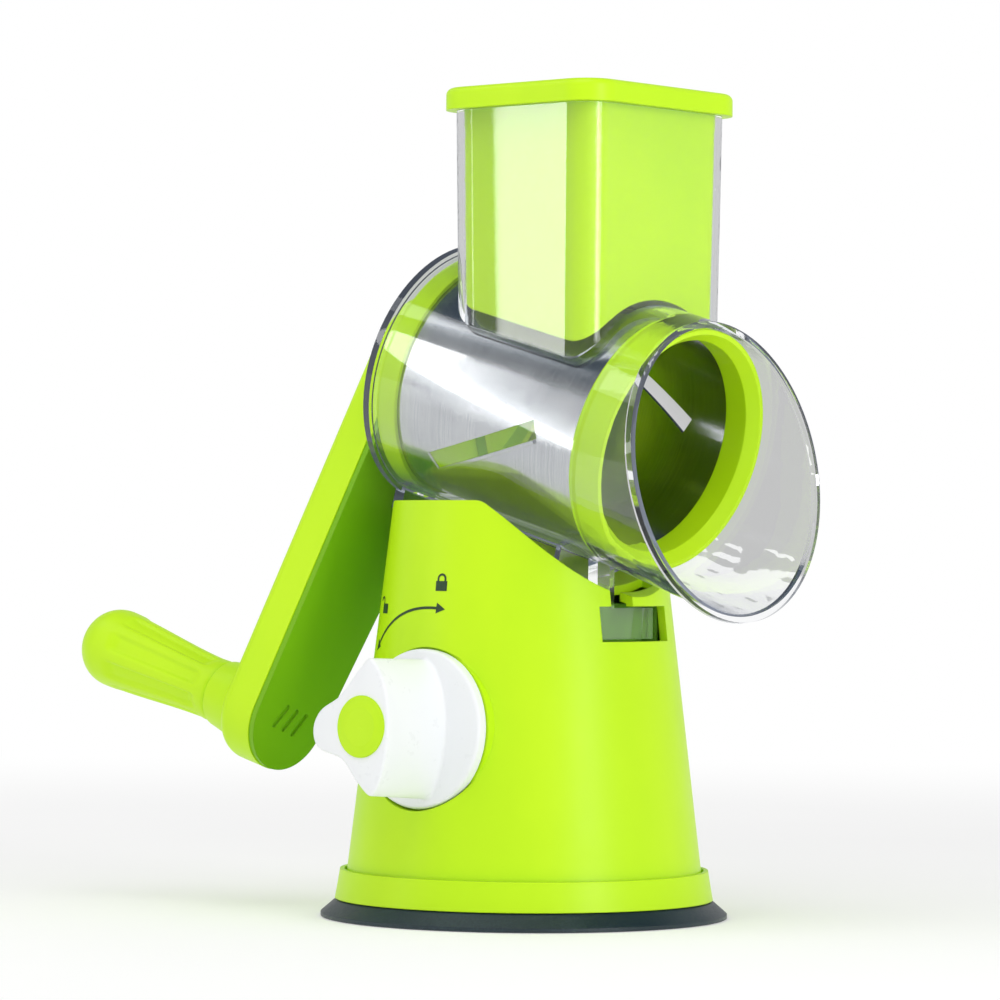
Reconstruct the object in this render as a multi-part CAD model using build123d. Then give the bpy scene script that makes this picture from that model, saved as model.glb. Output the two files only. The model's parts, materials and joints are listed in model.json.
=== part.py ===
from build123d import *
import math
import os

# Rotary drum grater on a suction base, millimetres.
# Origin: centre of the suction foot's flat underside. +Z up, -Y to the outlet mouth,
# +Y to the crank, -X to the lock knob.

# Suction foot and base cone
PAD_R = 65.0
PAD_TOP = 5.6
PAD_SEAT_R = 59.6
PAD_WELL_Z = 2.5
PAD_WELL_R = 46.0
RING_TOP = 15.0
RING_R_LOW = 60.5
RING_R_HIGH = 58.9
RING_BORE_R = 57.5
LEDGE_Z = 9.0
LEDGE_R = 52.0
CONE_R0 = 58.4
CONE_SLOPE = 0.119
WALL = 2.8
EAR_TOP = 132.5
EAR_ROUND = 7.0
EAR_FRONT_Y = -15.0
EAR_BACK_Y = 34.0
BACK_TOP_Z = 124.5
SADDLE_R = 48.7

# Drum axis: a point above the base centre and a downward tilt to the front
AXIS_HEIGHT = 165.9
TILT = 15.5

# Feed housing, along the drum axis (S values run forward from the point above the base)
BARREL_R = 41.6
BARREL_BORE_R = 39.4
BARREL_BACK_S = -31.8
BACK_WALL = 2.0
FLANGE_R = 42.8
FLARE_START_S = 56.0
RIM_S = 84.6
RIM_DROP = 1.5
RIM_TILT = 24.0
RIM_R = 46.4
RIM_BORE_R = 45.0
BEAD_R = 47.1
BEAD_WIDTH = 2.4
HOPPER_Y = -25.0
HOPPER_TOP = 255.3
HOPPER_FOOT_Z = 165.0
HOPPER_X = 72.0
HOPPER_DEPTH = 60.5
HOPPER_WALL = 2.0
HOPPER_CORNER = 10.0
DRAFT = 0.012
FOOT_HALF = 17.0
FOOT_WALL = 2.2
FOOT_FRONT_S = 40.0
TONGUE_WIDTH = 30.7
TONGUE_NECK = (-11.6, -3.4)
TONGUE_LOW_Z = 89.2
TONGUE_HIGH_Z = 99.0
TONGUE_FRONT_Y = -39.7
TONGUE_DEPTH = 4.5
NOTCH_HALF = 16.2
NOTCH_FLOOR_Z = 88.6
NOTCH_TOP_Z = 99.6
NECK_SLOT = (-12.0, -3.0)
NECK_TOP_Z = 116.0
TONGUE_SPACE = (-41.0, -34.6)

# Drum
SHEET_R = 37.6
SHEET_T = 0.8
SHEET_BACK_S = -24.5
SHEET_FRONT_S = 60.0
RING_R = 38.8
FRONT_RING_S = 54.0
FRONT_RING_WIDTH = 11.8
FRONT_RING_BORE_R = 34.6
FRONT_RING_LEAD = 3.6
REAR_HUB_S = -28.4
REAR_HUB_WIDTH = 7.6
SLOT_COUNT = 4
SLOT_LENGTH = 50.0
SLOT_WIDTH = 5.6
SLOT_ANGLE = 27.0
SLOT_MID_S = 15.0
LIP_R = 38.4

# Crank and grip
CRANK_LENGTH = 125.0
CRANK_LEAN = 19.0
CRANK_FRONT_S = -34.6
COVER_T = 2.0
CRANK_BACK_S = -51.8
CRANK_TOP_R = 22.0
CRANK_END_R = 17.0
SHAFT_R = 8.0
SHAFT_HEX = 12.0
BUSH_R = 12.0
RUNNING = 0.06
GRIP_BOSS_LENGTH = 12.0
GRIP_LENGTH = 63.5
GRIP_NECK_R = 10.2
GRIP_BULB_R = 13.2
GRIP_PIN_R = 4.0
FLUTE_COUNT = 8
FLUTE_R = 10.4
FLUTE_OUT = 20.9

# Lock knob
KNOB_X = -50.6
KNOB_Z = 61.0
KNOB_TILT = 3.0
DISC_R = 25.0
DISC_BACK = -2.6
DISC_FRONT = 1.2
KNOB_TOP = 27.5
POINTER_FRONT = 9.5
POINTER_TAIL = 20.5
POINTER_HIGH = 21.0
CAP_R = 9.6
CAP_SINK = 1.4
CAM_R = 7.0
CAM_THROW = 3.6
CAM_PIN_R = 2.5

# Pusher
LID_X = 77.5
LID_DEPTH = 65.5
LID_LOW = 255.5
LID_TOP = 262.5
LID_CORNER = 11.0
PUSHER_GAP = 0.6
PUSHER_WALL = 2.2
PUSHER_BELLY_R = 42.4

COS = math.cos(math.radians(TILT))
SIN = math.sin(math.radians(TILT))
DRUM = Plane(origin=(0, 0, AXIS_HEIGHT), x_dir=(1, 0, 0), z_dir=(0, -COS, -SIN)).location
CRANK = DRUM * Rot(0, 0, CRANK_LEAN * -1.0)
KNOB_COS = math.cos(math.radians(KNOB_TILT))
KNOB_SIN = math.sin(math.radians(KNOB_TILT))
KNOB = Plane(
    origin=(KNOB_X, 0, KNOB_Z), x_dir=(0, -1, 0), z_dir=(-KNOB_COS, 0, KNOB_SIN)
).location


def turned(*points):
    """A solid turned about Z from (radius, height) corners."""
    outline = Polyline(*[(r, 0, z) for r, z in points], close=True)
    return revolve(make_face(outline), axis=Axis.Z)


def rod(radius, low, high):
    return Pos(0, 0, low) * extrude(Circle(radius), amount=high - low)


def tube(outer, inner, low, high):
    return rod(outer, low, high) - rod(inner, low, high)


def block(x, y, z):
    """A box from (low, high) pairs."""
    size = Box(x[1] - x[0], y[1] - y[0], z[1] - z[0], align=(Align.MIN,) * 3)
    return Pos(x[0], y[0], z[0]) * size


def cone_r(z):
    return CONE_R0 - CONE_SLOPE * z


def ring_places(count, radius, start=0.0):
    """Evenly spaced places on a circle about Z."""
    return [Rot(0, 0, start + 360.0 * i / count) * Pos(radius, 0, 0) for i in range(count)]


# ---- suction foot ----

SCREW_CIRCLE = 48.0
SCREW_COUNT = 3
SCREW_R = 1.9
SCREW_HEAD_R = 3.8
SCREW_HEAD = 2.4
BOSS_R = 6.0
BOSS_TOP = 40.0
PLATE_TOP = 12.5
STEM_R = 6.0
STEM_FOOT_R = 15.0
GUIDE_R = 9.0
GUIDE_TOP = 24.0
COLLAR_LOW = 40.0
COLLAR_R = 12.5
HEAD_TOP = 64.5
SPRING_R = 10.6
SPRING_WIRE_R = 0.8
SPRING_TURNS = 5.5


def suction_pad():
    return turned(
        (0, 0),
        (PAD_R, 0),
        (PAD_R, 1.2),
        (63.4, 2.6),
        (60.6, 5.0),
        (PAD_SEAT_R, PAD_TOP),
        (51.0, PAD_TOP),
        (PAD_WELL_R, PAD_WELL_Z),
        (0, PAD_WELL_Z),
    )


def bottom_ring():
    return turned(
        (LEDGE_R, PAD_TOP),
        (RING_R_LOW, PAD_TOP),
        (RING_R_HIGH, RING_TOP),
        (RING_BORE_R, RING_TOP),
        (RING_BORE_R, LEDGE_Z),
        (LEDGE_R, LEDGE_Z),
    )


def guide_plate():
    plate = rod(53.6, LEDGE_Z, PLATE_TOP) + rod(GUIDE_R, LEDGE_Z, GUIDE_TOP)
    plate -= rod(STEM_R + RUNNING, LEDGE_Z, GUIDE_TOP)
    plate -= rod(STEM_FOOT_R + 1.5, LEDGE_Z, LEDGE_Z + 1.6)
    for place in ring_places(SCREW_COUNT, SCREW_CIRCLE, 30.0):
        plate -= place * rod(2.2, LEDGE_Z, PLATE_TOP)
    return plate


def plate_screws():
    """Pan-head screws that hold the guide plate to the bosses inside the cone."""
    head_z = LEDGE_Z - SCREW_HEAD
    screw = rod(SCREW_HEAD_R, head_z, LEDGE_Z) + rod(SCREW_R, LEDGE_Z, PLATE_TOP + 9.0)
    screw -= rod(1.2, head_z, LEDGE_Z - 1.0)
    return Compound([place * screw for place in ring_places(SCREW_COUNT, SCREW_CIRCLE, 30.0)])


def pull_stem():
    stem = rod(STEM_FOOT_R, PAD_WELL_Z, 4.2) + rod(STEM_R, PAD_WELL_Z, HEAD_TOP - 10.0)
    stem += rod(COLLAR_R, COLLAR_LOW, COLLAR_LOW + 3.0)
    stem += block((-5.0, 5.0), (-8.0, 11.0), (COLLAR_LOW + 3.0, HEAD_TOP))
    pin = KNOB * Pos(-CAM_THROW * 0.85, -CAM_THROW * 0.7071, 0)
    slot = SlotOverall(2 * (CAM_PIN_R + 0.8) + 1.6, 2 * (CAM_PIN_R + 0.8))
    return stem - pin * Pos(0, 0, -70.0) * extrude(slot, amount=40.0)


def lift_spring():
    low = PLATE_TOP + SPRING_WIRE_R + 0.05
    rise = COLLAR_LOW - SPRING_WIRE_R - 0.05 - low
    path = Pos(0, 0, low) * Helix(pitch=rise / SPRING_TURNS, height=rise, radius=SPRING_R)
    start = Plane(origin=path @ 0, z_dir=path % 0)
    return sweep(start * Circle(SPRING_WIRE_R), path=path, is_frenet=True)


# ---- base shell ----

SEAT_R = 25.6
SEAT_FLOOR = -2.8
SEAT_BACK = -6.6
BEARING_R = 11.0
BEARING_DEPTH = 20.0


def saddle(radius):
    """The round trough that lies along the drum axis."""
    return DRUM * rod(radius, -90.0, 90.0)


def ear_outline():
    """Side view of the whole cone: flat ear tops with rounded corners, open to the front."""
    corners = [(-80.0, 0.0), (80.0, 0.0), (80.0, BACK_TOP_Z), (EAR_BACK_Y + 1.5, BACK_TOP_Z)]
    corners += [(EAR_BACK_Y, EAR_TOP), (EAR_FRONT_Y, EAR_TOP), (-80.0, 84.0)]
    side = Plane.YZ * Polygon(*corners, align=None)
    bar = extrude(side, 80.0, both=True)
    sharp = bar.edges().filter_by(Axis.X).sort_by(Axis.Z)[-2:]
    return fillet(sharp, EAR_ROUND)


def base_shell():
    low, top = LEDGE_Z, EAR_TOP
    outer = turned((0, low), (cone_r(low), low), (cone_r(top), top), (0, top))
    inner_top = EAR_TOP - WALL
    inner = turned(
        (0, LEDGE_Z),
        (cone_r(LEDGE_Z) - WALL, LEDGE_Z),
        (cone_r(inner_top) - WALL, inner_top),
        (0, inner_top),
    )
    outer += KNOB * rod(SEAT_R - 0.3, SEAT_BACK, SEAT_FLOOR)
    hollow = inner - saddle(SADDLE_R + WALL)
    hollow -= block((-60.0, 60.0), (EAR_BACK_Y - 4.0, 60.0), (BACK_TOP_Z - WALL, EAR_TOP))
    hollow -= KNOB * (rod(BEARING_R, -BEARING_DEPTH, 5.0) + rod(SEAT_R + 2.0, SEAT_BACK, 5.0))
    for place in ring_places(SCREW_COUNT, SCREW_CIRCLE, 30.0):
        hollow -= place * rod(BOSS_R, PLATE_TOP, BOSS_TOP)
    shell = outer - saddle(SADDLE_R) - hollow
    shell -= rod(53.9, LEDGE_Z, PLATE_TOP)
    window = (-NOTCH_HALF, NOTCH_HALF)
    above = (NOTCH_TOP_Z - 1.0, EAR_TOP)
    shell -= block(window, (-60.0, -30.0), (NOTCH_FLOOR_Z, NOTCH_TOP_Z))
    shell -= block(NECK_SLOT, (-60.0, -30.0), above)
    shell -= block(window, TONGUE_SPACE, above)
    shell &= ear_outline()
    shell -= KNOB * (rod(CAM_R + RUNNING, -40.0, 5.0) + rod(SEAT_R, SEAT_FLOOR, 10.0))
    for place in ring_places(SCREW_COUNT, SCREW_CIRCLE, 30.0):
        shell -= place * rod(SCREW_R + 0.05, PLATE_TOP, PLATE_TOP + 12.0)
    return shell


# ---- lock knob ----


def cam_shaft():
    """Shaft behind the knob, with a short driving neck outside and the cam pin inside."""
    shaft = rod(CAM_R, -41.0, DISC_BACK) + rod(4.5, DISC_BACK, DISC_BACK + 9.0)
    shaft -= block((3.2, 6.0), (-6.0, 6.0), (DISC_BACK, DISC_BACK + 10.0))
    pin = Pos(-CAM_THROW * 0.7071, -CAM_THROW * 0.7071, 0) * rod(CAM_PIN_R, -58.0, -41.0)
    shaft = shaft + pin - rod(1.75, DISC_BACK - 8.0, DISC_BACK + 9.0)
    return KNOB * shaft


def pointer_face(height, grow):
    """Section of the raised pointer: blunt to the front, hollow-sided, narrow to the rear."""
    front = POINTER_FRONT + grow
    high = POINTER_HIGH + grow * 0.4
    tail = POINTER_TAIL + grow * 0.5
    points = [
        (front, 0.0),
        (front - 1.6, high * 0.62),
        (2.6, high),
        (-2.4, high - 3.4),
        (-9.5 - grow, 9.6 + grow),
        (-tail + 2.8, 4.6),
        (-tail, -1.4),
        (-tail + 2.6, -7.2),
        (-8.0 - grow, -10.4 - grow),
        (-1.0, 3.6 - high),
        (5.0, -high),
        (front - 1.0, -high * 0.62),
    ]
    outline = Spline(*[(x, y, height) for x, y in points], periodic=True)
    return make_face(outline)


def knob():
    """Flat disc with a raised pointer, hollow in the middle for the screw and its cap."""
    disc = rod(DISC_R, DISC_BACK, DISC_FRONT)
    disc = fillet(disc.edges().sort_by(Axis.Z)[-1], 1.2)
    pointer = loft([pointer_face(DISC_FRONT - 0.5, 0.9), pointer_face(KNOB_TOP, 0.0)], ruled=True)
    body = disc + pointer
    body -= rod(4.6, DISC_BACK, DISC_BACK + 9.2) - block((3.3, 6.0), (-6.0, 6.0), (-20.0, 20.0))
    body -= rod(2.2, DISC_BACK + 9.0, KNOB_TOP)
    body -= rod(CAP_R - 1.5, DISC_BACK + 13.0, KNOB_TOP + 1.0)
    body -= rod(CAP_R + 0.1, KNOB_TOP - CAP_SINK, KNOB_TOP + 1.0)
    return KNOB * body


def knob_screw():
    screw = rod(4.2, DISC_BACK + 13.0, DISC_BACK + 16.0) + rod(1.7, DISC_BACK - 6.0, DISC_BACK + 13.0)
    screw -= rod(1.4, DISC_BACK + 14.4, DISC_BACK + 16.0)
    return KNOB * screw


def knob_cap():
    """Domed plug over the knob's screw well."""
    top = KNOB_TOP + 1.0
    seat = KNOB_TOP - CAP_SINK
    cap = turned((0, seat), (CAP_R, seat), (CAP_R, top - 0.6), (6.0, top - 0.1), (0, top))
    cap += tube(CAP_R - 1.6, CAP_R - 3.0, KNOB_TOP - 6.0, seat)
    return KNOB * cap


# ---- feed housing ----

RIM = Plane(
    origin=(0, -RIM_DROP, RIM_S),
    x_dir=(1, 0, 0),
    z_dir=(0, math.sin(math.radians(RIM_TILT)), math.cos(math.radians(RIM_TILT))),
).location


def mouth(start_r, end_r):
    """Flare from the barrel's round front to the leaning outlet rim."""
    return loft([Pos(0, 0, FLARE_START_S) * Circle(start_r), RIM * Circle(end_r)])


def tapered_box(inset, top, low):
    """A drafted box with round corners, narrower at the bottom."""
    def section(z):
        shrink = 2 * (inset + DRAFT * (HOPPER_TOP - z))
        face = RectangleRounded(HOPPER_X - shrink, HOPPER_DEPTH - shrink, HOPPER_CORNER - inset)
        return Pos(0, HOPPER_Y, z) * face
    return loft([section(low), section(top)], ruled=True)


def foot():
    """Two rails that stand in the saddle, with cross walls and the front tongue."""
    half = FOOT_HALF
    rails = block((-half, half), (-60.0, -30.0), (BARREL_BACK_S, FOOT_FRONT_S))
    inside = half - FOOT_WALL
    rails -= block((-inside, inside), (-60.0, 0.0), (BARREL_BACK_S + 3.0, FOOT_FRONT_S - 2.6))
    rails -= block((-inside - 3.0, inside + 3.0), (-38.0, 0.0), (BARREL_BACK_S, FOOT_FRONT_S))
    rails = (DRUM * rails) & saddle(SADDLE_R - 0.1)
    y_back = TONGUE_FRONT_Y + TONGUE_DEPTH
    neck = block(TONGUE_NECK, (TONGUE_FRONT_Y + 0.6, y_back), (TONGUE_HIGH_Z, NECK_TOP_Z))
    across = (-TONGUE_WIDTH / 2, TONGUE_WIDTH / 2)
    tab = block(across, (TONGUE_FRONT_Y, y_back), (TONGUE_LOW_Z, TONGUE_HIGH_Z))
    return rails + neck + tab


def feed_housing():
    barrel = rod(BARREL_R, BARREL_BACK_S, FLARE_START_S) + mouth(BARREL_R, RIM_R)
    barrel += rod(FLANGE_R, BARREL_BACK_S, BARREL_BACK_S + 2.5)
    barrel += RIM * rod(BEAD_R, -BEAD_WIDTH, 0.0)
    body = DRUM * barrel + tapered_box(0.0, HOPPER_TOP, HOPPER_FOOT_Z) + foot()
    bore = rod(BARREL_BORE_R, BARREL_BACK_S + BACK_WALL, FLARE_START_S) + mouth(BARREL_BORE_R, RIM_BORE_R)
    body -= DRUM * bore
    body -= tapered_box(HOPPER_WALL, HOPPER_TOP + 1.0, HOPPER_FOOT_Z)
    return body - DRUM * rod(BUSH_R, BARREL_BACK_S - 1.0, BARREL_BACK_S + BACK_WALL + 1.0)


def drive_bush():
    """Plain bearing pressed in the housing's back wall."""
    bush = rod(BUSH_R, BARREL_BACK_S - 1.6, BARREL_BACK_S + BACK_WALL + 0.7)
    bush += rod(BUSH_R + 2.5, BARREL_BACK_S - 1.6, BARREL_BACK_S)
    bush -= rod(SHAFT_R + RUNNING, BARREL_BACK_S - 2.0, BARREL_BACK_S + BACK_WALL + 2.0)
    return DRUM * bush


# ---- pusher ----


def pusher_body():
    gap = HOPPER_WALL + PUSHER_GAP
    outer = tapered_box(gap, LID_LOW, HOPPER_FOOT_Z + 5.0)
    inner = tapered_box(gap + PUSHER_WALL, LID_LOW + 1.0, HOPPER_FOOT_Z + 6.0)
    outer -= DRUM * rod(PUSHER_BELLY_R, -90.0, 120.0)
    return outer - (inner - DRUM * rod(PUSHER_BELLY_R + PUSHER_WALL, -90.0, 120.0))


def pusher_lid():
    plate = Pos(0, HOPPER_Y, LID_LOW) * RectangleRounded(LID_X, LID_DEPTH, LID_CORNER)
    lid = extrude(plate, LID_TOP - LID_LOW)
    lid = fillet(lid.faces().sort_by(Axis.Z)[-1].edges(), 2.2)
    inset = 2 * (HOPPER_WALL + PUSHER_GAP + PUSHER_WALL + 0.2)
    plug = RectangleRounded(HOPPER_X - inset, HOPPER_DEPTH - inset, 5.0)
    collar = RectangleRounded(HOPPER_X - inset - 4.0, HOPPER_DEPTH - inset - 4.0, 3.4)
    skirt = extrude(Pos(0, HOPPER_Y, LID_LOW - 5.0) * (plug - collar), 5.0)
    return lid + skirt


# ---- drum ----


def slicing_slot(angle):
    """A slanted slot cut through the sheet, as a long box on the drum's surface."""
    bar = Pos(SHEET_R, 0, SLOT_MID_S) * Rot(SLOT_ANGLE, 0, 0) * Box(14.0, SLOT_WIDTH, SLOT_LENGTH)
    return Rot(0, 0, angle) * bar


def blade_lip(angle):
    """The raised cutting edge along one side of a slot."""
    bar = Pos(SHEET_R, 0, SLOT_MID_S) * Rot(SLOT_ANGLE, 0, 0) * Pos(0, SLOT_WIDTH / 2 + 0.6, 0)
    bar = bar * Box(14.0, 1.2, SLOT_LENGTH - 2.0)
    return Rot(0, 0, angle) * bar


def drum_sheet():
    sheet = tube(SHEET_R, SHEET_R - SHEET_T, SHEET_BACK_S, SHEET_FRONT_S)
    skin = tube(LIP_R, SHEET_R - 0.4, SHEET_BACK_S + 5.0, FRONT_RING_S - 1.0)
    step = 360.0 / SLOT_COUNT
    for i in range(SLOT_COUNT):
        sheet += skin & blade_lip(20.0 + step * i)
    for i in range(SLOT_COUNT):
        sheet -= slicing_slot(20.0 + step * i)
    return DRUM * sheet


def drum_front_ring():
    front = FRONT_RING_S + FRONT_RING_WIDTH
    ring = tube(RING_R, FRONT_RING_BORE_R, FRONT_RING_S, front)
    ring -= tube(SHEET_R + 0.02, SHEET_R - SHEET_T - 0.05, FRONT_RING_S, SHEET_FRONT_S)
    lead_r = FRONT_RING_BORE_R + FRONT_RING_LEAD * 0.75
    lead_s = front - FRONT_RING_LEAD
    ring -= turned((0, lead_s), (FRONT_RING_BORE_R, lead_s), (lead_r, front), (0, front))
    return DRUM * ring


def drum_rear_hub():
    """Back disc of the drum with the hexagonal socket for the drive shaft."""
    back = REAR_HUB_S
    hub = tube(RING_R, 34.6, back, back + REAR_HUB_WIDTH) + rod(36.0, back, back + 2.4)
    hub += rod(11.0, back, back + 15.0)
    spoke = block((-12.5, 12.5), (-1.0, 1.0), (back, back + 7.0))
    for place in ring_places(6, 22.5):
        hub += place * spoke
    hub -= tube(SHEET_R + 0.02, SHEET_R - SHEET_T - 0.05, SHEET_BACK_S, back + REAR_HUB_WIDTH)
    socket = RegularPolygon(SHAFT_HEX / 2 + 0.12, 6, major_radius=False)
    hub -= Pos(0, 0, back) * extrude(socket, 13.0)
    return DRUM * hub


# ---- crank ----


def arm_outline(inset=0.0):
    top = Circle(CRANK_TOP_R - inset)
    end = Pos(0, -CRANK_LENGTH, 0) * Circle(CRANK_END_R - inset)
    return make_hull([*top.edges(), *end.edges()])


def drive_shaft():
    """Round journal with a hexagonal nose, flanged inside the crank arm."""
    shaft = rod(SHAFT_R, CRANK_FRONT_S - COVER_T - 3.0, REAR_HUB_S - 1.0)
    shaft += rod(12.0, CRANK_FRONT_S - COVER_T - 3.0, CRANK_FRONT_S - COVER_T)
    nose = RegularPolygon(SHAFT_HEX / 2, 6, major_radius=False)
    shaft += Pos(0, 0, REAR_HUB_S - 1.0) * extrude(nose, 13.0)
    shaft -= rod(2.45, CRANK_FRONT_S - COVER_T - 3.0, CRANK_FRONT_S + 12.0)
    return DRUM * shaft


def crank_arm():
    """Deep open-fronted moulding with a round boss at each end."""
    front = CRANK_FRONT_S - COVER_T
    depth = front - CRANK_BACK_S
    arm = extrude(arm_outline(), depth)
    arm = fillet(arm.faces().sort_by(Axis.Z)[0].edges(), 4.5)
    arm = Pos(0, 0, CRANK_BACK_S) * arm
    hollow = Pos(0, 0, CRANK_BACK_S + 3.0) * extrude(arm_outline(2.6), depth - 3.0)
    shaft_boss = rod(14.5, CRANK_BACK_S, front - 3.0)
    pin_boss = Pos(0, -CRANK_LENGTH, 0) * rod(8.0, CRANK_BACK_S, front - 4.0)
    rib = block((-1.2, 1.2), (-CRANK_LENGTH, 0.0), (CRANK_BACK_S, front - 4.0))
    arm -= hollow - shaft_boss - pin_boss - rib
    arm -= rod(12.1, front - 3.0, front)
    arm -= rod(2.7, CRANK_BACK_S, front)
    arm -= rod(8.0, CRANK_BACK_S, CRANK_BACK_S + 7.0)
    grip_base = Pos(0, -CRANK_LENGTH, 0) * Pos(0, 0, CRANK_BACK_S - GRIP_BOSS_LENGTH)
    cone = extrude(Circle(GRIP_NECK_R + 0.9), GRIP_BOSS_LENGTH + 3.0, taper=-9.0)
    arm += grip_base * cone
    arm -= Pos(0, -CRANK_LENGTH, 0) * rod(GRIP_PIN_R, CRANK_BACK_S - GRIP_BOSS_LENGTH, CRANK_BACK_S + 8.0)
    arm -= Pos(0, -CRANK_LENGTH, 0) * rod(2.1, CRANK_BACK_S + 7.0, front)
    return CRANK * arm


def crank_cover():
    cover = Pos(0, 0, CRANK_FRONT_S - COVER_T) * extrude(arm_outline(0.35), COVER_T)
    cover -= rod(SHAFT_R + 0.2, CRANK_FRONT_S - 5.0, CRANK_FRONT_S + 1.0)
    for x in (-5.0, 0.0, 5.0):
        slot = Pos(x, -CRANK_LENGTH, CRANK_FRONT_S - 0.8) * Rot(0, 0, 70.0) * SlotOverall(9.0, 1.8)
        cover -= extrude(slot, 2.0)
    return CRANK * cover


def shaft_screw():
    head_s = CRANK_BACK_S + 4.0
    screw = rod(4.6, head_s, head_s + 3.0) + rod(2.4, head_s + 3.0, CRANK_FRONT_S + 8.0)
    screw -= extrude(Pos(0, 0, head_s) * RegularPolygon(1.6, 6), 1.8)
    return DRUM * screw


def pivot_cap():
    cap = rod(7.9, CRANK_BACK_S - 0.8, CRANK_BACK_S + 2.0)
    cap = fillet(cap.edges().sort_by(Axis.Z)[0], 0.6)
    return DRUM * (cap + tube(7.9, 6.5, CRANK_BACK_S + 2.0, CRANK_BACK_S + 6.0))


# ---- grip ----

GRIP_START_S = CRANK_BACK_S - GRIP_BOSS_LENGTH - 0.4
GRIP = CRANK * Pos(0, -CRANK_LENGTH, GRIP_START_S) * Rot(180, 0, 0)


def grip_profile():
    """Half section of the grip, from the neck out to the bulb end."""
    end = GRIP_LENGTH
    curve = Spline(
        (GRIP_NECK_R, 0, 0),
        (10.6, 0, 14.0),
        (11.9, 0, 34.0),
        (GRIP_BULB_R, 0, end - 13.0),
        (9.6, 0, end - 2.4),
        tangents=((0.0, 0, 1.0), (-1.0, 0, 0.55)),
    )
    lines = Polyline((9.6, 0, end - 2.4), (5.0, 0, end), (0, 0, end), (0, 0, 0), (GRIP_NECK_R, 0, 0))
    return make_face([*curve.edges(), *lines.edges()])


def grip():
    body = revolve(grip_profile(), axis=Axis.Z)
    for i in range(FLUTE_COUNT):
        flute = Pos(FLUTE_OUT, 0, 7.0) * Rot(0, 2.2, 0) * rod(FLUTE_R, 0.0, 33.0)
        body -= Rot(0, 0, 360.0 * (i + 0.5) / FLUTE_COUNT) * flute
    body -= rod(GRIP_PIN_R + RUNNING, 0.0, 50.0)
    body -= rod(GRIP_PIN_R + 1.4, 46.0, 50.0)
    return GRIP * body


def grip_pin():
    """Steel axle, snapped in the grip by its wider head."""
    pin = rod(GRIP_PIN_R, -GRIP_BOSS_LENGTH - 7.0, 46.2) + rod(GRIP_PIN_R + 1.0, 46.2, 49.0)
    pin -= rod(1.9, -GRIP_BOSS_LENGTH - 7.4, -GRIP_BOSS_LENGTH + 6.0)
    return GRIP * pin


def pin_screw():
    head_s = CRANK_FRONT_S - COVER_T - 4.0
    screw = rod(4.0, head_s, head_s + 2.6) + rod(1.85, CRANK_BACK_S - 3.0, head_s)
    return CRANK * Pos(0, -CRANK_LENGTH, 0) * screw


PARTS = {
    "suction_pad": suction_pad,
    "bottom_ring": bottom_ring,
    "guide_plate": guide_plate,
    "plate_screws": plate_screws,
    "lift_spring": lift_spring,
    "base_shell": base_shell,
    "pull_stem": pull_stem,
    "cam_shaft": cam_shaft,
    "knob": knob,
    "knob_screw": knob_screw,
    "knob_cap": knob_cap,
    "feed_housing": feed_housing,
    "drive_bush": drive_bush,
    "pusher_body": pusher_body,
    "pusher_lid": pusher_lid,
    "drum_sheet": drum_sheet,
    "drum_front_ring": drum_front_ring,
    "drum_rear_hub": drum_rear_hub,
    "drive_shaft": drive_shaft,
    "crank_arm": crank_arm,
    "crank_cover": crank_cover,
    "shaft_screw": shaft_screw,
    "pivot_cap": pivot_cap,
    "grip": grip,
    "grip_pin": grip_pin,
    "pin_screw": pin_screw,
}

os.makedirs("parts", exist_ok=True)
for name, make in PARTS.items():
    export_step(make(), os.path.join("parts", name + ".step"))
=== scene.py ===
import bmesh
import bpy
import json
import math
from mathutils import Matrix, Vector


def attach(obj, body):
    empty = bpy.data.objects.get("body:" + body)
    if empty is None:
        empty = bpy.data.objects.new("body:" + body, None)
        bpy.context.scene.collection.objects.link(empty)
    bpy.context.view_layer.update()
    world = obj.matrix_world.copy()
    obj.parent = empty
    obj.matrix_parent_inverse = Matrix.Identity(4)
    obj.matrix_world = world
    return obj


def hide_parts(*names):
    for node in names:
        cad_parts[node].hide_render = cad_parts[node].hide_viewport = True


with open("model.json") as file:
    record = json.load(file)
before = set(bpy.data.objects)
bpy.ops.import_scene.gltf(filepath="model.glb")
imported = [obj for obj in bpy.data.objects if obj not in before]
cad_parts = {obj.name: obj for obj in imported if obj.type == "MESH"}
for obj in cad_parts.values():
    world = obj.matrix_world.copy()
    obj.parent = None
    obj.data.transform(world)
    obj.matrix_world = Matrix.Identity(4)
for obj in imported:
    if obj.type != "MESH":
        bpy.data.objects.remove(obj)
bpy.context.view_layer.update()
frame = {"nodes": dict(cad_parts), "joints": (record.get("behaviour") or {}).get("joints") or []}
pieces = frame["nodes"]
joints = {joint["name"]: joint for joint in frame["joints"]}


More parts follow.
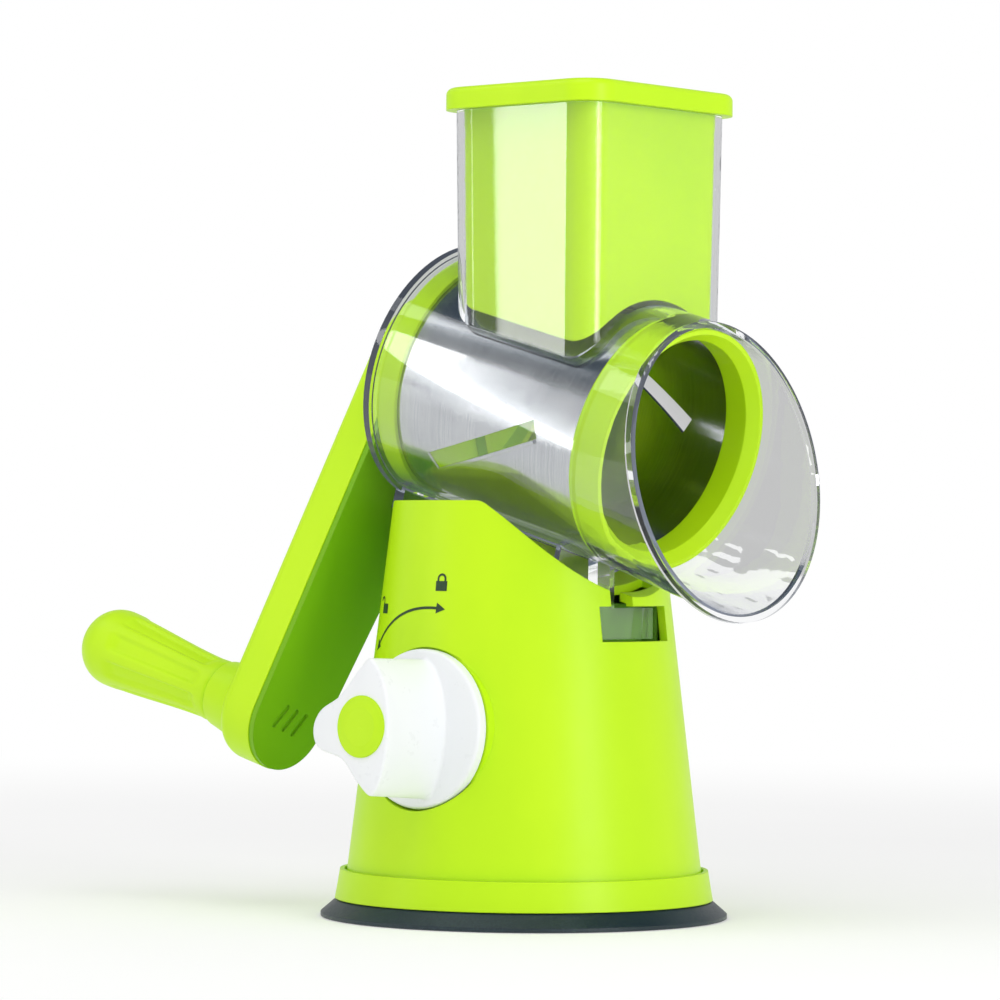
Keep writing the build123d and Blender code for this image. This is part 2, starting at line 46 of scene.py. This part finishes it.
# Suction foot: one soft black-blue rubber cup, compression moulded, with a satin skin that keeps a
# little dust. It carries the grater and is drawn up in the middle when the knob is locked.
class Wire:
    """One socket of a finish. Sums on values add Math nodes, and add() puts in any other node."""

    def __init__(self, tree, socket=None):
        self.tree = tree
        self.socket = socket

    def add(self, kind, settings=None, sockets=None, out=0):
        node = self.tree.nodes.new("ShaderNode" + kind)
        for name, value in (settings or {}).items():
            if name == "stops":
                self.set_stops(node.color_ramp, value)
            else:
                setattr(node, name, value)
        for place, value in (sockets or {}).items():
            if isinstance(value, Wire):
                self.tree.links.new(value.socket, node.inputs[place])
            else:
                node.inputs[place].default_value = value
        return Wire(self.tree, node.outputs[out] if node.outputs else None)

    def set_stops(self, ramp, stops):
        while len(ramp.elements) < len(stops):
            ramp.elements.new(1.0)
        for element, (position, colour) in zip(ramp.elements, stops):
            element.position = position
            element.color = (*colour, 1.0)

    def sums(self, operation, *values):
        return self.add("Math", {"operation": operation}, dict(enumerate(values)))

    def __add__(self, other):
        return self.sums("ADD", self, other)

    def __radd__(self, other):
        return self.sums("ADD", other, self)

    def __sub__(self, other):
        return self.sums("SUBTRACT", self, other)

    def __rsub__(self, other):
        return self.sums("SUBTRACT", other, self)

    def __mul__(self, other):
        return self.sums("MULTIPLY", self, other)

    def __rmul__(self, other):
        return self.sums("MULTIPLY", other, self)

    def __pow__(self, other):
        return self.sums("POWER", self, other)

    def __rpow__(self, other):
        return self.sums("POWER", other, self)

    def between(self, low, high):
        """0 below low, 1 above high, and a smooth step from one to the other."""
        settings = {"interpolation_type": "SMOOTHSTEP"}
        return self.add("MapRange", settings, {0: self, 1: low, 2: high})

    def grain(self, size, detail=2.0, stretch=(1.0, 1.0, 1.0)):
        """Noise with lumps of about that size in metres, at this place."""
        place = self.add("VectorMath", {"operation": "MULTIPLY"}, {0: self, 1: stretch})
        return place.add("TexNoise", sockets={"Vector": place, "Scale": 1.0 / size, "Detail": detail})

    def blend(self, low, high):
        """A colour between low and high by this value."""
        return self.add("Mix", {"data_type": "RGBA"}, {0: self, 6: low, 7: high}, out=2)


def start_finish(name):
    """An empty finish and the place on the object, in metres."""
    finish = bpy.data.materials.new(name)
    finish.use_nodes = True
    finish.node_tree.nodes.clear()
    place = Wire(finish.node_tree).add("TexCoord", out="Object")
    return finish, place


def end_finish(finish, shader):
    shader.add("OutputMaterial", sockets={"Surface": shader})
    return finish


def dress(finish, *names):
    """Gives that finish to CAD nodes."""
    for name in names:
        mesh = pieces[name].data
        mesh.materials.clear()
        mesh.materials.append(finish)


def rounded_skin(place, height, depth, edge):
    """A normal with softened edges and a fine relief of that depth in metres."""
    soft = place.add("Bevel", {"samples": 4}, {"Radius": edge})
    return place.add("Bump", sockets={"Strength": 1.0, "Distance": depth, "Height": height, "Normal": soft})


def rubber():
    finish, place = start_finish("foot_rubber")
    cloud = place.grain(0.030, 3.0)
    speck = place.grain(0.0009)
    dust = (cloud * 0.6 + speck * 0.4).between(0.42, 0.66)
    colour = dust.blend((0.008, 0.022, 0.031, 1.0), (0.020, 0.040, 0.052, 1.0))
    skin = rounded_skin(place, speck, 0.00004, 0.0005)
    sockets = {"Base Color": colour, "Roughness": 0.36 + dust * 0.16, "Normal": skin, "IOR": 1.5}
    return end_finish(finish, place.add("BsdfPrincipled", sockets=sockets))


dress(rubber(), "suction_pad")


# Bottom ring and cone: thin-walled ABS mouldings in one lime green, glossy from a polished mould.
# The ring snaps into the cone and carries the guide plate; flow marks show as faint clouds.
LIME = (0.56, 0.88, 0.006, 1.0)
LIME_DEEP = (0.52, 0.85, 0.005, 1.0)


def moulded(name, light, deep, roughness, pebble=0.000006, edge=0.0005):
    """Injection-moulded gloss plastic: cloudy flow marks, a faint pebble and softened edges."""
    finish, place = start_finish(name)
    flow = place.grain(0.045, 3.0, (1.0, 1.0, 0.45))
    pebbles = place.grain(0.0022)
    wear = place.grain(0.009, 4.0)
    colour = flow.between(0.36, 0.64).blend(deep, light)
    matt = roughness + wear * 0.10 + (pebbles - 0.5) * 0.05
    skin = rounded_skin(place, pebbles, pebble, edge)
    sockets = {
        "Base Color": colour, "Roughness": matt, "Normal": skin, "IOR": 1.44,
        "Specular IOR Level": 0.38,
    }
    return end_finish(finish, place.add("BsdfPrincipled", sockets=sockets))


lime_gloss = moulded("lime_abs", LIME, LIME_DEEP, 0.33)
dress(lime_gloss, "base_shell", "bottom_ring")


# Printed turning mark: pad-printed in dark green on the cone above the knob, an arc with an arrow at
# each end, a closed padlock at one end and an open one at the other.
INK_LIFT = 0.00006
ARC_RADIUS = 0.0378
ARC_LINE = 0.00085
HEAD_LONG = 0.0034
HEAD_HALF = 0.0017
ARC_FIRST = math.radians(86.0)
ARC_LAST = math.radians(136.0)
ICON_RADIUS = 0.0448
BODY_WIDE = 0.0043
BODY_HIGH = 0.0031
SHACKLE_R = 0.00135
SHACKLE_LINE = 0.0007
SHACKLE_LIFT = 0.0007
LEG_SINK = 0.0002
HEAD_TIP_HALF = 0.00002
knob_centre = Vector(joints["knob_turn"]["pos_m"])
CONE_FOOT_R = 0.0584
CONE_SLOPE = 0.119


def on_cone(across, up):
    """The place on the cone straight behind (across, up), measured from the knob's centre."""
    z = knob_centre.z + up
    radius = CONE_FOOT_R - CONE_SLOPE * z + INK_LIFT
    return Vector((-math.sqrt(radius**2 - across**2), -across, z))


def ribbon(mesh, left, right):
    """A printed band between two rows of (across, up) points."""
    rows = [(mesh.verts.new(on_cone(*a)), mesh.verts.new(on_cone(*b))) for a, b in zip(left, right)]
    for (a, b), (c, d) in zip(rows, rows[1:]):
        mesh.faces.new((a, b, d, c))


def round_band(mesh, centre, radius, line, first, last, steps):
    """A printed arc of that line width round a centre."""
    rows = []
    for side in (-0.5, 0.5):
        r = radius + side * line
        turns = [first + (last - first) * i / steps for i in range(steps + 1)]
        rows.append([(centre[0] + r * math.cos(t), centre[1] + r * math.sin(t)) for t in turns])
    ribbon(mesh, rows[0], rows[1])


def arrow_head(mesh, turn, way):
    """A filled point that follows the arc past turn, clockwise or back."""
    steps = 6
    left, right = [], []
    for i in range(steps + 1):
        t = turn + way * HEAD_LONG / ARC_RADIUS * i / steps
        half = HEAD_HALF * (1.0 - i / steps) + HEAD_TIP_HALF
        left.append(((ARC_RADIUS - half) * math.cos(t), (ARC_RADIUS - half) * math.sin(t)))
        right.append(((ARC_RADIUS + half) * math.cos(t), (ARC_RADIUS + half) * math.sin(t)))
    ribbon(mesh, left, right)


def padlock(mesh, turn, opened):
    """A small padlock: a filled body and a shackle, closed or swung open."""
    cx, cy = ICON_RADIUS * math.cos(turn), ICON_RADIUS * math.sin(turn)
    xs = [cx + BODY_WIDE * (i / 6 - 0.5) for i in range(7)]
    top = cy + BODY_HIGH / 2
    ribbon(mesh, [(x, cy - BODY_HIGH / 2) for x in xs], [(x, top) for x in xs])
    middle = (cx - (2.0 * SHACKLE_R if opened else 0.0), top + SHACKLE_LIFT)
    round_band(mesh, middle, SHACKLE_R, SHACKLE_LINE, 0.0, math.pi, 12)
    legs = (1.0,) if opened else (-1.0, 1.0)
    for leg in legs:
        inner = middle[0] + leg * SHACKLE_R - SHACKLE_LINE / 2
        outer = inner + SHACKLE_LINE
        low = top - LEG_SINK
        ribbon(mesh, [(inner, low), (inner, middle[1])], [(outer, low), (outer, middle[1])])


def ink():
    finish, place = start_finish("dark_green_ink")
    patchy = place.grain(0.0006, 3.0)
    colour = patchy.between(0.3, 0.7).blend((0.010, 0.040, 0.012, 1.0), (0.020, 0.062, 0.016, 1.0))
    sockets = {"Base Color": colour, "Roughness": 0.42 + patchy * 0.2}
    return end_finish(finish, place.add("BsdfPrincipled", sockets=sockets))


def show(name, mesh, finish, body, smooth=True):
    """Makes a visible piece of that mesh, on a body, with its finish."""
    data = bpy.data.meshes.new(name)
    mesh.normal_update()
    mesh.to_mesh(data)
    mesh.free()
    if smooth:
        data.shade_smooth()
    else:
        data.shade_flat()
    data.materials.append(finish)
    piece = bpy.data.objects.new(name, data)
    bpy.context.scene.collection.objects.link(piece)
    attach(piece, body)
    return piece


marks = bmesh.new()
round_band(marks, (0.0, 0.0), ARC_RADIUS, ARC_LINE, ARC_FIRST, ARC_LAST, 40)
arrow_head(marks, ARC_FIRST, -1.0)
arrow_head(marks, ARC_LAST, 1.0)
padlock(marks, math.radians(85.0), False)
padlock(marks, math.radians(124.0), True)
bmesh.ops.recalc_face_normals(marks, faces=marks.faces)
show("turning_mark", marks, ink(), "base")


# Latch pocket: a shallow well moulded inside the cone behind the front window, in the same lime ABS,
# coloured darker green as painted shade inside the well. The housing's clear tongue drops into it
# and shows through the window.
POCKET_HALF = 0.0165
POCKET_WALL = 0.0012
POCKET_BACK_Y = -0.0342
POCKET_FRONT_Y = -0.0402
POCKET_LOW_Z = 0.0880
POCKET_HIGH_Z = 0.1004
POCKET_EDGE = 0.0003


def pocket_shape():
    """Three walls and a floor, open to the window and above."""
    mesh = bmesh.new()
    wide, back = POCKET_HALF + POCKET_WALL, POCKET_BACK_Y + POCKET_WALL
    walls = [
        (-wide, POCKET_FRONT_Y), (-POCKET_HALF, POCKET_FRONT_Y), (-POCKET_HALF, POCKET_BACK_Y),
        (POCKET_HALF, POCKET_BACK_Y), (POCKET_HALF, POCKET_FRONT_Y), (wide, POCKET_FRONT_Y),
        (wide, back), (-wide, back),
    ]
    floor = [walls[0], walls[5], walls[6], walls[7]]
    for outline, low, high in (
        (walls, POCKET_LOW_Z, POCKET_HIGH_Z), (floor, POCKET_LOW_Z - POCKET_WALL, POCKET_LOW_Z),
    ):
        face = mesh.faces.new([mesh.verts.new((x, y, low)) for x, y in outline])
        raised = bmesh.ops.extrude_face_region(mesh, geom=[face])["geom"]
        corners = [part for part in raised if isinstance(part, bmesh.types.BMVert)]
        bmesh.ops.translate(mesh, verts=corners, vec=(0.0, 0.0, high - low))
    edges = mesh.edges[:]
    bmesh.ops.bevel(mesh, geom=edges, offset=POCKET_EDGE, segments=2, affect="EDGES", profile=0.5)
    bmesh.ops.recalc_face_normals(mesh, faces=mesh.faces)
    return mesh


# Painted shade: the well's lime is coloured a dark green for the shade inside it.
shaded_pocket_lime = moulded("shaded_pocket_lime", (0.15, 0.36, 0.02, 1.0), (0.13, 0.32, 0.02, 1.0), 0.50)
show("latch_pocket", pocket_shape(), shaded_pocket_lime, "base", smooth=False)


# Lock work inside the cone: a grey nylon guide plate and pull stem, a coil spring that pushes the cup
# down again, and zinc-plated steel screws and cam shaft.
def nylon(name, light, deep):
    finish, place = start_finish(name)
    cloud = place.grain(0.012, 3.0)
    speck = place.grain(0.0008)
    colour = cloud.between(0.35, 0.65).blend(deep, light)
    skin = rounded_skin(place, speck, 0.000015, 0.0004)
    sockets = {"Base Color": colour, "Roughness": 0.45 + speck * 0.12, "Normal": skin}
    return end_finish(finish, place.add("BsdfPrincipled", sockets=sockets))


def zinc():
    finish, place = start_finish("zinc_plate")
    spangle = place.grain(0.0016, 2.0)
    scratch = place.grain(0.0006, 3.0, (1.0, 1.0, 0.12))
    colour = spangle.between(0.3, 0.7).blend((0.50, 0.52, 0.55, 1.0), (0.66, 0.67, 0.68, 1.0))
    skin = rounded_skin(place, scratch, 0.000008, 0.0003)
    sockets = {"Base Color": colour, "Metallic": 1.0, "Roughness": 0.26 + scratch * 0.18, "Normal": skin}
    return end_finish(finish, place.add("BsdfPrincipled", sockets=sockets))


grey_nylon = nylon("grey_nylon", (0.30, 0.31, 0.32, 1.0), (0.24, 0.25, 0.26, 1.0))
dress(grey_nylon, "guide_plate", "pull_stem")
zinc_plate = zinc()
dress(zinc_plate, "plate_screws", "lift_spring", "cam_shaft", "knob_screw")


# Lock knob: a white gloss ABS disc with a raised pointer, screwed to the cam shaft, and a lime plug
# pressed over the screw.
KNOB_DISC_R = 0.0250
KNOB_DISC_TOP = 0.0012
KNOB_RIM_ROUND = 0.0012
KNOB_WELL_R = 0.0089
KNOB_WELL_LOW = 0.0104
KNOB_TOP_ROUND = 0.0010
KNOB_SPREAD = 0.0005
KNOB_FLARE = 0.0011
KNOB_WELL_CHAMFER = 0.0003
KNOB_BACK_CHAMFER = 0.0004
SPAN_STEPS = 20
ROUND_STEPS = 6
WALL_STEPS = 5
SHARP_TURN = math.radians(40.0)
# Corners of the pointer in millimetres from the disc's centre, towards the front and then up.
POINTER = (
    (10.9, 0.0), (8.6, 13.0), (2.6, 21.0), (-2.4, 17.6), (-9.5, 9.6), (-17.7, 4.6),
    (-20.5, -1.4), (-17.9, -7.2), (-8.0, -10.4), (-1.0, -17.4), (5.0, -21.0), (9.2, -13.0),
)
knob_out = -Vector(joints["knob_turn"]["axis"]).normalized()
knob_front = Vector((0.0, -1.0, 0.0))
knob_up = knob_out.cross(knob_front)
knob_reach = [(v.co - knob_centre).dot(knob_out) for v in pieces["knob"].data.vertices]


def pointer_outline():
    """A smooth closed curve through the pointer's corners, with its outward directions."""
    corners = [Vector(corner) / 1000.0 for corner in POINTER]
    count = len(corners)
    points = []
    for i in range(count):
        before, here, after, later = (corners[(i + shift) % count] for shift in (-1, 0, 1, 2))
        pull, push = (after - before) / 2.0, (later - here) / 2.0
        for step in range(SPAN_STEPS):
            t = step / SPAN_STEPS
            points.append(
                here * (2 * t**3 - 3 * t**2 + 1) + pull * (t**3 - 2 * t**2 + t)
                + after * (3 * t**2 - 2 * t**3) + push * (t**3 - t**2)
            )
    ways = []
    for i, point in enumerate(points):
        along = points[(i + 1) % len(points)] - points[i - 1]
        ways.append(Vector((along.y, -along.x)).normalized())
    return points, ways


def knob_rows():
    """Rings of the knob from the bottom of its screw well, over the pointer, to its back."""
    points, ways = pointer_outline()
    low, high = min(knob_reach), max(knob_reach)

    def round_row(radius, height):
        return [(*(point.normalized() * radius), height) for point in points]

    def pointer_row(grow, height):
        return [(*(point + way * grow), height) for point, way in zip(points, ways)]

    rows = [round_row(KNOB_WELL_R, KNOB_WELL_LOW), round_row(KNOB_WELL_R, high - KNOB_WELL_CHAMFER)]
    rows.append(round_row(KNOB_WELL_R + KNOB_WELL_CHAMFER, high))
    for i in range(ROUND_STEPS + 1):
        turn = math.pi / 2 * i / ROUND_STEPS
        drop = KNOB_TOP_ROUND * (1.0 - math.cos(turn))
        rows.append(pointer_row(KNOB_TOP_ROUND * (math.sin(turn) - 1.0), high - drop))
    foot_height = KNOB_DISC_TOP + KNOB_FLARE
    for i in range(1, WALL_STEPS):
        share = i / WALL_STEPS
        height = (high - KNOB_TOP_ROUND) * (1.0 - share) + foot_height * share
        rows.append(pointer_row(KNOB_SPREAD * share, height))
    for i in range(ROUND_STEPS + 1):
        turn = math.pi / 2 * i / ROUND_STEPS
        grow = KNOB_SPREAD + KNOB_FLARE * (1.0 - math.cos(turn))
        rows.append(pointer_row(grow, foot_height - KNOB_FLARE * math.sin(turn)))
    for i in range(ROUND_STEPS + 1):
        turn = math.pi / 2 * i / ROUND_STEPS
        radius = KNOB_DISC_R - KNOB_RIM_ROUND * (1.0 - math.sin(turn))
        rows.append(round_row(radius, KNOB_DISC_TOP - KNOB_RIM_ROUND * (1.0 - math.cos(turn))))
    rows.append(round_row(KNOB_DISC_R, low + KNOB_BACK_CHAMFER))
    rows.append(round_row(KNOB_DISC_R - KNOB_BACK_CHAMFER, low))
    return rows, low


def knob_shape():
    mesh = bmesh.new()
    rows, low = knob_rows()
    rings = []
    for row in rows:
        spots = [knob_centre + knob_front * x + knob_up * y + knob_out * z for x, y, z in row]
        rings.append([mesh.verts.new(spot) for spot in spots])
    count = len(rings[0])
    for inner, outer in zip(rings, rings[1:]):
        for i in range(count):
            after = (i + 1) % count
            mesh.faces.new((inner[i], inner[after], outer[after], outer[i]))
    for ring, height in ((rings[0], KNOB_WELL_LOW), (rings[-1], low)):
        hub = mesh.verts.new(knob_centre + knob_out * height)
        for i in range(count):
            mesh.faces.new((ring[i], ring[(i + 1) % count], hub))
    bmesh.ops.recalc_face_normals(mesh, faces=mesh.faces)
    for edge in mesh.edges:
        edge.smooth = edge.calc_face_angle(0.0) < SHARP_TURN
    return mesh


white_gloss = moulded("white_abs", (0.90, 0.915, 0.93, 1.0), (0.87, 0.89, 0.91, 1.0), 0.24, 0.000002)
pointer_knob = show("pointer_knob", knob_shape(), white_gloss, "lock_knob")
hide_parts("knob")
dress(lime_gloss, "knob_cap")


# Feed housing: one clear styrene moulding, hopper, barrel, flared outlet and foot together. It is
# glass-like, with faint flow lines. Towards the edges it turns grey-blue, partly its own tint along the
# wall and partly painted shade, and a faint painted glow lights its rims.
def clear():
    finish, place = start_finish("clear_styrene")
    flow = place.grain(0.030, 2.0, (1.0, 1.0, 0.3))
    facing = place.add("LayerWeight", sockets={"Blend": 0.5}, out="Facing")
    # Grey-blue towards grazing angles: partly the wall's own tint, partly painted edge shade.
    along = (facing ** 6.0) * 0.6 + flow * 0.02
    colour = along.blend((0.985, 0.99, 0.996, 1.0), (0.66, 0.72, 0.80, 1.0))
    # Painted glow: emission that brightens the rims, though the housing is no lamp.
    painted_rim_glow = (facing ** 3.0).blend((0.0, 0.0, 0.0, 1.0), (0.060, 0.068, 0.086, 1.0))
    sockets = {
        "Base Color": colour, "Roughness": 0.008 + flow * 0.02,
        "Emission Color": painted_rim_glow, "Emission Strength": 1.0,
        "IOR": 1.5, "Transmission Weight": 1.0,
    }
    wall = place.add("BsdfPrincipled", sockets=sockets)
    gap = place.add("BsdfTransparent", sockets={"Color": (0.93, 0.95, 0.95, 1.0)})
    lamp = place.add("LightPath", out="Is Shadow Ray")
    return end_finish(finish, place.add("MixShader", sockets={0: lamp, 1: wall, 2: gap}))


dress(clear(), "feed_housing")
dress(nylon("bush_acetal", (0.62, 0.63, 0.62, 1.0), (0.54, 0.55, 0.54, 1.0)), "drive_bush")


# Slicing drum: a rolled sheet of stainless steel, polished round its axis and slotted, pressed between
# a lime front ring and a lime hub with a hexagonal socket.
axle = Vector(joints["crank_spin"]["axis"]).normalized()


def steel():
    finish, place = start_finish("polished_steel")
    along = place.add("VectorMath", {"operation": "DOT_PRODUCT"}, {0: place, 1: axle}, out="Value")
    streak = place.add("TexNoise", {"noise_dimensions": "1D"}, {"W": along, "Scale": 2600.0, "Detail": 4.0})
    band = place.add("TexNoise", {"noise_dimensions": "1D"}, {"W": along, "Scale": 260.0, "Detail": 2.0})
    smudge = place.grain(0.014, 4.0)
    worn = (streak * 0.7 + smudge * 0.3).between(0.3, 0.7)
    colour = worn.blend((0.42, 0.44, 0.46, 1.0), (0.58, 0.59, 0.60, 1.0))
    rough = 0.10 + streak * 0.07 + smudge * 0.07
    skin = rounded_skin(place, streak * 0.5 + band * 0.5, 0.000006, 0.0003)
    sockets = {"Base Color": colour, "Metallic": 1.0, "Roughness": rough, "Normal": skin}
    return end_finish(finish, place.add("BsdfPrincipled", sockets=sockets))


dress(steel(), "drum_sheet")
dress(lime_gloss, "drum_front_ring", "drum_rear_hub")


# Pusher: a hollow lime block that fills the hopper, curved under to follow the drum, with its lid
# pressed in from above.
dress(lime_gloss, "pusher_body", "pusher_lid")


# Crank: a deep lime channel closed at the front by a cover with three slots, on a hexagonal
# steel shaft, with a plug over the screw. The cover's darker green is painted shade on the lime.
# Painted shade: the cover is coloured a darker green than the lime, for the shade it sits in.
shaded_cover_lime = moulded("shaded_cover_lime", (0.20, 0.47, 0.005, 1.0), (0.18, 0.44, 0.004, 1.0), 0.40)
dress(lime_gloss, "crank_arm", "pivot_cap")
dress(shaded_cover_lime, "crank_cover")
dress(zinc_plate, "drive_shaft", "shaft_screw", "grip_pin", "pin_screw")


# Hand grip: a hollow lime moulding that spins on a steel pin, thin at the neck, swelling to a round
# end, with soft ribs between eight shallow flutes.
GRIP_ROWS = 90
GRIP_SIDES = 192
GRIP_NECK_R = 0.0103
GRIP_BULB_R = 0.0131
DOME_SHARE = 0.80
FLUTES = 8
FLUTE_DEPTH = 0.0012
spin_axis = Vector(joints["grip_spin"]["axis"]).normalized()
grip_centre = Vector(joints["grip_spin"]["pos_m"])
outward = -spin_axis
reach = [(corner.co - grip_centre).dot(outward) for corner in pieces["grip"].data.vertices]
grip_start = grip_centre + outward * min(reach)
grip_long = max(reach) - min(reach)
grip_side = Vector((1.0, 0.0, 0.0))
grip_up = outward.cross(grip_side)


def eased(value, low, high):
    """0 below low, 1 above high, and a smooth step from one to the other."""
    share = min(max((value - low) / (high - low), 0.0), 1.0)
    return share * share * (3.0 - 2.0 * share)


def grip_radius(share, turn):
    """Distance from the axis at that share of the length, from neck to round end, and that turn."""
    swell = GRIP_NECK_R + (GRIP_BULB_R - GRIP_NECK_R) * eased(share, 0.05, 0.86)
    dome = 1.0 if share < DOME_SHARE else (1.0 - ((share - DOME_SHARE) / (1.0 - DOME_SHARE)) ** 2.2)
    rib = eased(math.cos(FLUTES * turn), -0.35, 0.75)
    groove = eased(share, 0.07, 0.13) * (1.0 - eased(share, 0.66, 0.74))
    heel = 1.0 - 0.10 * (1.0 - eased(share, 0.0, 0.02))
    return swell * math.sqrt(max(dome, 0.0)) * heel - FLUTE_DEPTH * (1.0 - rib) * groove


def grip_shape():
    mesh = bmesh.new()
    rings = []
    for row in range(GRIP_ROWS):
        share = 1.0 - (1.0 - row / GRIP_ROWS) ** 1.5
        ring = []
        for step in range(GRIP_SIDES):
            turn = math.tau * step / GRIP_SIDES
            way = grip_side * math.cos(turn) + grip_up * math.sin(turn)
            spot = grip_start + outward * (share * grip_long) + way * grip_radius(share, turn)
            ring.append(mesh.verts.new(spot))
        rings.append(ring)
    for low, high in zip(rings, rings[1:]):
        for step in range(GRIP_SIDES):
            after = (step + 1) % GRIP_SIDES
            mesh.faces.new((low[step], low[after], high[after], high[step]))
    for ring, middle in ((rings[0], grip_start), (rings[-1], grip_start + outward * grip_long)):
        hub = mesh.verts.new(middle)
        for step in range(GRIP_SIDES):
            mesh.faces.new((ring[step], ring[(step + 1) % GRIP_SIDES], hub))
    bmesh.ops.recalc_face_normals(mesh, faces=mesh.faces)
    return mesh


ribbed_grip = show("ribbed_grip", grip_shape(), lime_gloss, "hand_grip")
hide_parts("grip")


# Stage: a pale matt table in a white surround whose reflected ceiling is dark, a tall strip lamp at
# each side, a small panel high on the left and a wide one overhead.
TABLE_HALF = 12.0
TABLE_DROP = 0.0002


def table():
    finish, place = start_finish("pale_table")
    cloud = place.grain(0.4, 3.0)
    away = place.add("VectorMath", {"operation": "LENGTH"}, {0: place}, out="Value")
    far = away.between(0.15, 1.1)
    near = cloud.between(0.3, 0.7).blend((0.80, 0.80, 0.80, 1.0), (0.82, 0.82, 0.82, 1.0))
    colour = far.blend(near, (0.0, 0.0, 0.0, 1.0))
    glow = far.blend((0.18, 0.18, 0.18, 1.0), (1.0, 1.0, 1.0, 1.0))
    sockets = {
        "Base Color": colour, "Roughness": 0.7 + cloud * 0.1, "Specular IOR Level": 0.0,
        "Emission Color": glow, "Emission Strength": 1.0,
    }
    return end_finish(finish, place.add("BsdfPrincipled", sockets=sockets))


top = bmesh.new()
bmesh.ops.create_grid(top, x_segments=8, y_segments=8, size=TABLE_HALF)
sheet = bpy.data.meshes.new("table_top")
top.to_mesh(sheet)
top.free()
sheet.materials.append(table())
table_top = bpy.data.objects.new("table_top", sheet)
table_top.location.z = -TABLE_DROP
bpy.context.scene.collection.objects.link(table_top)

CAMERA_TURN = -49.85
CAMERA_FAR = 1.4494
CAMERA_HIGH = 0.1198
CAMERA_LENS = 162.8
LAMP_AIM_HIGH = 0.14
around = math.radians(CAMERA_TURN)
to_camera = Vector((math.sin(around), -math.cos(around), 0.0))
to_right = Vector((math.cos(around), math.sin(around), 0.0))
world = bpy.data.worlds.new("white_surround")
world.use_nodes = True
world.node_tree.nodes.clear()
air = Wire(world.node_tree)
path = {name: air.add("LightPath", out=name) for name in ("Is Glossy Ray", "Is Diffuse Ray")}
direction = air.add("TexCoord", out="Generated")
height = direction.add("SeparateXYZ", sockets={"Vector": direction}, out="Z")
ceiling = height.between(0.42, 0.80) * path["Is Glossy Ray"]
tone = ceiling.blend((1.0, 1.0, 1.0, 1.0), (0.05, 0.09, 0.14, 1.0))
sky = (path["Is Diffuse Ray"] * -0.35 + path["Is Glossy Ray"] * -0.40) + 1.0
glow = air.add("Background", sockets={"Color": tone, "Strength": sky})
air.add("OutputWorld", sockets={"Surface": glow})
bpy.context.scene.world = world


def soft_lamp(name, turn, far, high, wide, tall, bright):
    """A plain soft panel: turn is degrees to the camera's right of the line to the camera."""
    spin = math.radians(turn)
    way = to_camera * math.cos(spin) + to_right * math.sin(spin)
    lamp = bpy.data.lights.new(name, "AREA")
    lamp.shape = "RECTANGLE"
    lamp.size = wide
    lamp.size_y = tall
    lamp.energy = bright * math.pi * wide * tall
    holder = bpy.data.objects.new(name, lamp)
    middle = Vector((0.0, 0.0, LAMP_AIM_HIGH))
    spot = middle + way * far + Vector((0.0, 0.0, high))
    holder.location = spot
    holder.rotation_euler = (middle - spot).to_track_quat("-Z", "Y").to_euler()
    bpy.context.scene.collection.objects.link(holder)


soft_lamp("left_strip", -77.1, 0.905, 0.10, 0.042, 0.9, 5.0)
soft_lamp("left_panel", -100.0, 0.75, 0.75, 0.5, 0.3, 1.6)
soft_lamp("right_strip", 43.0, 1.0, 0.10, 0.26, 0.9, 5.0)
soft_lamp("top_panel", -20.0, 0.5, 0.95, 0.8, 0.8, 1.6)

bpy.context.scene.view_settings.view_transform = "Standard"

camera = bpy.data.cameras.new("camera")
camera.sensor_width = 36.0
camera.lens = CAMERA_LENS
camera.clip_end = 60.0
eye = bpy.data.objects.new("camera", camera)
turn_in = around + math.radians(0.34)
rise = math.radians(0.52)
roll = math.radians(0.44)
look = Vector((-math.sin(turn_in) * math.cos(rise), math.cos(turn_in) * math.cos(rise), math.sin(rise)))
side = look.cross(Vector((0.0, 0.0, 1.0))).normalized()
crown = side.cross(look)
right = side * math.cos(roll) + crown * math.sin(roll)
above = crown * math.cos(roll) - side * math.sin(roll)
turned = Matrix((right, above, -look)).transposed().to_4x4()
eye.matrix_world = Matrix.Translation(to_camera * CAMERA_FAR + Vector((0.0, 0.0, CAMERA_HIGH))) @ turned
bpy.context.scene.collection.objects.link(eye)
bpy.context.scene.camera = eye
